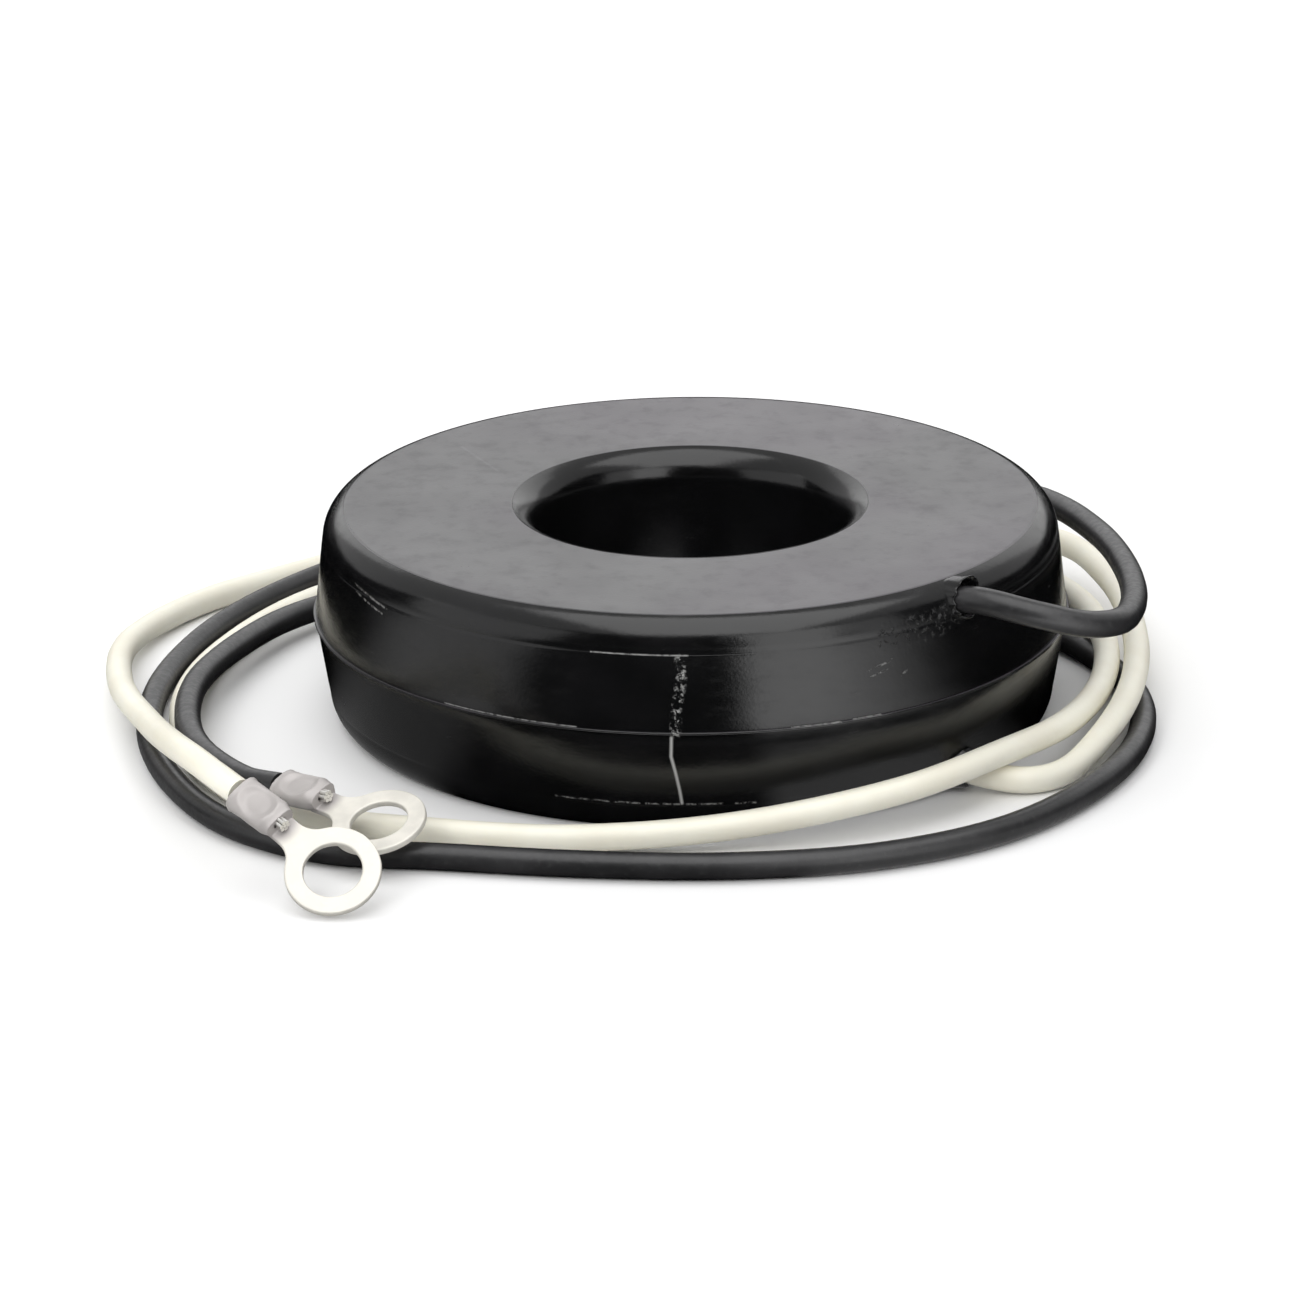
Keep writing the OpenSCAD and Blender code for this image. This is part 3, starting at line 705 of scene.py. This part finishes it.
def case_material():
    mat, tree, shader = material(
        "case_plastic", (0.004, 0.004, 0.0044), 0.2, Specular_IOR_Level=0.5,
    )
    coords = object_coords(tree)
    sep = node(tree, "ShaderNodeSeparateXYZ", {0: coords})
    wall = wall_coords(tree, sep)
    grain = noise_at(tree, coords, 2600, 3, 0.6)
    lumps = noise_at(tree, coords, 95, 2, 0.5)
    rubs = noise_at(tree, coords, 420, 4, 0.65, stretch=(1, 1, 3.5))
    # the streak and the nicks on the wall, and the painted highlight glints
    streak_noise = noise_at(tree, coords, 1700, 4, 0.75)
    low = wall_marks(tree, wall, list(zip(STREAK_LOW, STREAK_LOW[1:])), LOW_STREAK_MARK)
    high = wall_marks(tree, wall, list(zip(STREAK_HIGH, STREAK_HIGH[1:])), HIGH_STREAK_MARK)
    broken_high = math_node(tree, "MULTIPLY", high, ramp(tree, streak_noise, 0.50, 0.62))
    nicks = wall_marks(tree, wall, NICKS, NICK_MARK)
    nicks = math_node(tree, "MULTIPLY", nicks, ramp(tree, streak_noise, 0.44, 0.60, 0.0, 0.45))
    # painted highlights along the parting lip and the edge under the shoulder
    glints = wall_marks(tree, wall, SEAM_GLINTS + HIGH_GLINTS, GLINT_MARK)
    glints = math_node(tree, "MULTIPLY", glints, ramp(tree, streak_noise, 0.36, 0.56, 0.1, 0.8))
    # painted highlight along the wall's lower edge
    low_glints = wall_marks(tree, wall, LOW_GLINTS, LOW_GLINT_MARK)
    seen_part = ramp(tree, streak_noise, 0.42, 0.60, 0.0, 0.6)
    low_glints = math_node(tree, "MULTIPLY", low_glints, seen_part)
    outside = ramp(tree, flat_radius(tree, sep), WALL_FROM * MM, WALL_FULL * MM)
    # real scratches and painted highlight glints, whitened together
    scuffs_and_glints = low
    for mark in (broken_high, glints, low_glints, nicks):
        scuffs_and_glints = math_node(tree, "MAXIMUM", scuffs_and_glints, mark)
    scuffs_and_glints = math_node(tree, "MULTIPLY", scuffs_and_glints, outside, clamp=True)
    # scuffed plastic around the black lead's exit
    near_exit = marks_in_mm(tree, coords, EXIT_SCUFFS, EXIT_SCUFF_MARK)
    near_exit = ramp(tree, near_exit, 0.0, 0.9)
    torn_noise = noise_at(tree, coords, 1500, 5, 0.7)
    torn = math_node(tree, "MULTIPLY", near_exit, ramp(tree, torn_noise, 0.54, 0.66))
    # faint radial step on the top face
    step = marks_in_mm(tree, coords, [TOP_STEP], TOP_STEP_MARK)
    top_face = ramp(tree, sep.outputs[2], (CASE_H - 0.15) * MM, (CASE_H - 0.05) * MM)
    step = math_node(tree, "MULTIPLY", step, top_face)
    # colour: near black, with dust and a painted sheen on upward faces, whitened scratches and painted
    # highlight glints
    normal = node(tree, "ShaderNodeNewGeometry").outputs["Normal"]
    up = node(tree, "ShaderNodeSeparateXYZ", {0: normal}).outputs[2]
    uneven = ramp(tree, rubs, 0.2, 0.8, 0.75, 1.0)
    # upward faces lighter: real dust together with a painted sheen of the top face
    dust_and_sheen = math_node(tree, "MULTIPLY", ramp(tree, up, 0.93, 0.995), uneven)
    color = mix_color(tree, ramp(tree, lumps, 0.3, 0.7), CASE_DARK, CASE_LIGHT)
    tint = noise_at(tree, coords, 24, 2, 0.5)
    dust_and_sheen_color = mix_color(tree, ramp(tree, tint, 0.4, 0.62), DUST_AND_SHEEN_COOL, DUST_AND_SHEEN_WARM)
    color = mix_color(tree, dust_and_sheen, color, dust_and_sheen_color)
    color = mix_color(tree, math_node(tree, "MULTIPLY", torn, 0.45), color, TORN_COLOR)
    color = mix_color(tree, math_node(tree, "MULTIPLY", step, 0.5), color, STEP_COLOR)
    color = mix_color(tree, scuffs_and_glints, color, SCUFF_AND_GLINT_COLOR)
    tree.links.new(color, shader.inputs["Base Color"])
    rough = ramp(tree, lumps, 0.3, 0.7, 0.15, 0.21)
    rough = math_node(tree, "ADD", rough, ramp(tree, rubs, 0.45, 0.75, 0.0, 0.08))
    rough = math_node(tree, "ADD", rough, math_node(tree, "MULTIPLY", dust_and_sheen, 0.16))
    marked = math_node(tree, "MULTIPLY", math_node(tree, "MAXIMUM", scuffs_and_glints, torn), 0.3)
    rough = math_node(tree, "ADD", rough, marked, clamp=True)
    tree.links.new(rough, shader.inputs["Roughness"])
    relief = weighted_sum(tree, grain, 0.03, lumps, 0.35)
    relief = math_node(tree, "ADD", relief, math_node(tree, "MULTIPLY", torn, 0.7))
    relief = math_node(tree, "SUBTRACT", relief, math_node(tree, "MULTIPLY", scuffs_and_glints, 0.25))
    bump(tree, shader, relief, 0.00035)
    return mat


def insulation_material(name, dark, light, roughness, streaks, **sockets):
    mat, tree, shader = material(name, light, roughness, **sockets)
    coords = object_coords(tree)
    broad = noise_at(tree, coords, 130, 3, 0.5)
    fine = noise_at(tree, coords, 1500, 4, 0.6)
    color = mix_color(tree, ramp(tree, broad, 0.3, 0.7), dark, light)
    worn_color = tuple(min(1, c * 1.6 + 0.02) for c in light)
    worn = math_node(tree, "MULTIPLY", ramp(tree, fine, 0.55, 0.7), streaks)
    color = mix_color(tree, worn, color, worn_color)
    tree.links.new(color, shader.inputs["Base Color"])
    rough = ramp(tree, fine, 0.3, 0.7, roughness - 0.06, roughness + 0.08)
    tree.links.new(rough, shader.inputs["Roughness"])
    relief = weighted_sum(tree, fine, 0.12, broad, 0.5)
    bump(tree, shader, relief, 0.0002)
    return mat


# Stretch of the barrels that the crimping tool pressed, from and to along the barrel; shade is painted there
# as a darker colour
PRESSED_FROM, PRESSED_TO = 0.6, BARREL_LEN - 0.9
BARREL_SHADE_MARK = (4.2, 2.2)
BARREL_SHADE_COLOR = (0.44, 0.415, 0.405)


def pressed_line(route):
    """Ends in mm of the pressed stretch of a terminal's barrel."""
    a, b = Vector(route[-2]), Vector(route[-1])
    x = (b - a).normalized()
    return b + x * (BARED_GAP + PRESSED_FROM), b + x * (BARED_GAP + PRESSED_TO)


def tin_material(name, base, roughness, metallic, pressed=None):
    """Tin plating. pressed lists the lines near which shade is painted on as a darker colour."""
    mat, tree, shader = material(name, base, roughness, metallic)
    coords = object_coords(tree)
    cloud = noise_at(tree, coords, 420, 3, 0.6)
    fine = noise_at(tree, coords, 4200, 3, 0.6)
    darker = tuple(c * 0.90 for c in base)
    color = mix_color(tree, ramp(tree, cloud, 0.35, 0.7), darker, base)
    if pressed:
        # painted shade on the pressed stretch of the barrels
        near = ramp(tree, marks_in_mm(tree, coords, pressed, BARREL_SHADE_MARK), 0.4, 1.2)
        color = mix_color(tree, near, color, BARREL_SHADE_COLOR)
    tree.links.new(color, shader.inputs["Base Color"])
    rough = ramp(tree, cloud, 0.3, 0.7, roughness - 0.07, roughness + 0.1)
    tree.links.new(rough, shader.inputs["Roughness"])
    relief = weighted_sum(tree, fine, 0.05, cloud, 0.3)
    bump(tree, shader, relief, 0.00015)
    return mat


def plain_detail(name, low, high, roughness, metallic=0.0, scale=600, stretch=None):
    """Procedural finish for the pieces inside the case."""
    mat, tree, shader = material(name, high, roughness, metallic)
    coords = object_coords(tree)
    grain = noise_at(tree, coords, scale, 4, 0.6, stretch=stretch)
    color = mix_color(tree, ramp(tree, grain, 0.3, 0.7), low, high)
    tree.links.new(color, shader.inputs["Base Color"])
    rough = ramp(tree, grain, 0.3, 0.7, roughness - 0.05, roughness + 0.1)
    tree.links.new(rough, shader.inputs["Roughness"])
    bump(tree, shader, grain, 0.00005)
    return mat


case_mat = case_material()
black_mat = insulation_material("black_insulation", (0.014, 0.014, 0.015), (0.026, 0.0255, 0.027), 0.36, 0.2,
                                Specular_IOR_Level=0.55)
white_mat = insulation_material("white_insulation", (0.90, 0.865, 0.735), (0.95, 0.925, 0.80), 0.42, 0.0,
                                Subsurface_Weight=0.12, Subsurface_Radius=(0.0009, 0.0008, 0.0006))
tin_mat = tin_material("tinned_brass", (0.76, 0.735, 0.67), 0.5, 0.25,
                       [pressed_line(BLACK_ROUTE), pressed_line(WHITE_ROUTE)])
strand_mat = tin_material("tinned_wire", (0.80, 0.79, 0.76), 0.35, 0.9)

dressed = {
    case_mat: (upper_shell, lower_shell, black_collar, white_collar),
    black_mat: (black_lead,),
    white_mat: (white_lead,),
    tin_mat: (black_terminal, white_terminal),
}
for mat, objs in dressed.items():
    for obj in objs:
        obj.data.materials.clear()
        obj.data.materials.append(mat)

inner = {
    "core": plain_detail("core_steel", (0.38, 0.39, 0.41), (0.58, 0.59, 0.61), 0.35, 1.0, 900, (0.2, 0.2, 6)),
    "upper_core_cap": plain_detail("cap_plastic", (0.42, 0.09, 0.05), (0.52, 0.12, 0.07), 0.45),
    "secondary_winding": plain_detail("enamelled_copper", (0.52, 0.20, 0.07), (0.66, 0.28, 0.11), 0.25, 1.0),
    "winding_tape": plain_detail("tape", (0.66, 0.48, 0.10), (0.78, 0.60, 0.16), 0.3, 0.0, 300, (1, 1, 0.2)),
    "start_splice": plain_detail("bare_copper", (0.62, 0.30, 0.16), (0.76, 0.42, 0.26), 0.3, 1.0, 1500),
    "start_sleeve": plain_detail("heat_shrink", (0.02, 0.02, 0.02), (0.035, 0.035, 0.037), 0.5, 0.0, 1500),
    "black_strands": strand_mat,
}
same = {"lower_core_cap": "upper_core_cap", "finish_splice": "start_splice", "finish_sleeve": "start_sleeve",
        "white_strands": "black_strands"}
for name in (*inner, *same):
    obj = nodes[name]
    mat = inner[same.get(name, name)]
    if not obj.material_slots:
        obj.data.materials.append(mat)
    for material_slot in obj.material_slots:
        material_slot.material = mat

# ---- floor, light ----------------------------------------------------------------------
FLOOR_COLOR = 0.80
FLOOR_SEEN = 0.98   # as the camera, glossy and transmission rays see it
FLOOR_HALF = 6.0
WORLD_STRENGTH = 0.62


def make_floor():
    bm = bmesh.new()
    corners = ((-FLOOR_HALF, -FLOOR_HALF, 0), (FLOOR_HALF, -FLOOR_HALF, 0),
               (FLOOR_HALF, FLOOR_HALF, 0), (-FLOOR_HALF, FLOOR_HALF, 0))
    bm.faces.new([bm.verts.new(c) for c in corners])
    obj = mesh_object("floor", bm, smooth=False)
    mat, tree, shader = material("floor_white", (FLOOR_COLOR,) * 3, 0.9, Specular_IOR_Level=0.0)
    path = node(tree, "ShaderNodeLightPath")
    seen = math_node(tree, "MAXIMUM", path.outputs["Is Camera Ray"], path.outputs["Is Glossy Ray"])
    seen = math_node(tree, "MAXIMUM", seen, path.outputs["Is Transmission Ray"])
    color = mix_color(tree, seen, (FLOOR_COLOR,) * 3, (FLOOR_SEEN,) * 3)
    tree.links.new(color, shader.inputs["Base Color"])
    obj.data.materials.append(mat)


make_floor()

world = bpy.data.worlds.new("world")
bpy.context.scene.world = world
world.use_nodes = True
background = world.node_tree.nodes["Background"]
background.inputs["Color"].default_value = (1, 1, 1, 1)
background.inputs["Strength"].default_value = WORLD_STRENGTH


def area_light(name, location, target, width, height, power, lights=True, reflects=True):
    """Area lamp that lights surfaces diffusely, is seen in reflections, or both."""
    data = bpy.data.lights.new(name, "AREA")
    data.shape = "RECTANGLE"
    data.size, data.size_y = width, height
    data.energy = power
    obj = bpy.data.objects.new(name, data)
    obj.location = location
    obj.rotation_euler = (Vector(target) - Vector(location)).to_track_quat("-Z", "Y").to_euler()
    obj.visible_camera = False
    obj.visible_diffuse = lights
    obj.visible_glossy = reflects
    bpy.context.scene.collection.objects.link(obj)


area_light("overhead", (-0.15, 0.1, 1.1), (0, 0, 0), 1.2, 1.2, 4.8, reflects=False)
area_light("front_fill", (-0.35, -1.0, 0.75), (0, 0, 0.01), 0.9, 0.7, 6.6, reflects=False)
area_light("back_panel", (0.1, 1.1, 0.55), (0, 0, 0.02), 1.8, 0.8, 3.7)
# what the glossy case reflects: a soft box above, and a panel on each side of the camera
area_light("soft_box", (0.15, -0.5, 1.1), (0.15, -0.5, 0), 1.3, 1.5, 12.0, lights=False)
area_light("right_panel", (0.55, -0.93, 0.36), (0, 0, 0.02), 0.55, 0.75, 2.8, lights=False)
area_light("right_panel_end", (0.93, -0.62, 0.36), (0, 0, 0.02), 0.4, 0.75, 0.9, lights=False)
area_light("left_panel", (-1.0, -0.43, 0.36), (0, 0, 0.02), 1.1, 0.75, 2.3, lights=False)


def reflection_card(name, rings, shader_of):
    """Card that is only seen in reflections, where it paints light or dark into them: a strip between two
    rows of corners.
    """
    bm = bmesh.new()
    grid_faces(bm, [[bm.verts.new(c) for c in ring] for ring in rings], close_ring=False)
    obj = mesh_object(name, bm, smooth=False)
    mat = bpy.data.materials.new(name)
    mat.use_nodes = True
    tree = mat.node_tree
    tree.nodes.clear()
    light = node(tree, "ShaderNodeEmission", {"Color": (1, 1, 1, 1), "Strength": shader_of(tree)})
    tree.links.new(light.outputs[0], node(tree, "ShaderNodeOutputMaterial").inputs[0])
    obj.data.materials.append(mat)
    obj.visible_camera = obj.visible_diffuse = obj.visible_shadow = obj.visible_transmission = False


# Degrees from the front at which a strip starts, is full, starts to fade and ends, and its strength
RIGHT_STRIP = (10, 17, 30, 75, 2.3)
LEFT_STRIP = (-100, -75, -52, -40, 0.8)


def table_card_strength(tree):
    """Black card on the table, seen only in reflections, with glowing strips that paint the two panels'
    reflections.
    """
    coords = object_coords(tree)
    sep = node(tree, "ShaderNodeSeparateXYZ", {0: coords})
    angle = front_angle(tree, sep)
    radius = flat_radius(tree, sep)
    strips = []
    for start, full, fading, end, level in (RIGHT_STRIP, LEFT_STRIP):
        rise = ramp(tree, angle, math.radians(start), math.radians(full))
        fall = ramp(tree, angle, math.radians(fading), math.radians(end), 1.0, 0.0)
        strips.append(math_node(tree, "MULTIPLY", math_node(tree, "MULTIPLY", rise, fall), level))
    far = ramp(tree, radius, 0.062, 0.11, 0.25, 1.0)
    return math_node(tree, "MULTIPLY", math_node(tree, "ADD", *strips), far)


def no_strength(tree):
    return 0.0


SURROUND_R = 1.4   # metres


def surround(height_of):
    """Foot and top of a ring round the object. height_of takes degrees from the front."""
    turn = [math.radians(5 * k) for k in range(73)]
    foot = [(SURROUND_R * math.sin(a), -SURROUND_R * math.cos(a), 0) for a in turn]
    heights = [height_of(math.degrees(min(a, 2 * math.pi - a))) for a in turn]
    return [foot, [(x, y, h) for (x, y, _), h in zip(foot, heights)]]


CARD_HALF, CARD_Z = 1, 2e-5   # metres
FRONT_HEIGHT, BACK_HEIGHT = 1.05, 0.2   # of the dark surround, metres


def surround_height(degrees):
    return FRONT_HEIGHT - (FRONT_HEIGHT - BACK_HEIGHT) * smooth_step(degrees, 75, 125)


# black card on the table: painted dark reflection of the near table, with painted reflections of the panels
card = [[(x, y, CARD_Z) for x in (-CARD_HALF, CARD_HALF)] for y in (-CARD_HALF, CARD_HALF)]
reflection_card("table_card", card, table_card_strength)
# dark ring round the object: painted dark reflections of the surroundings
reflection_card("dark_surround", surround(surround_height), no_strength)

bpy.context.scene.view_settings.view_transform = "Standard"
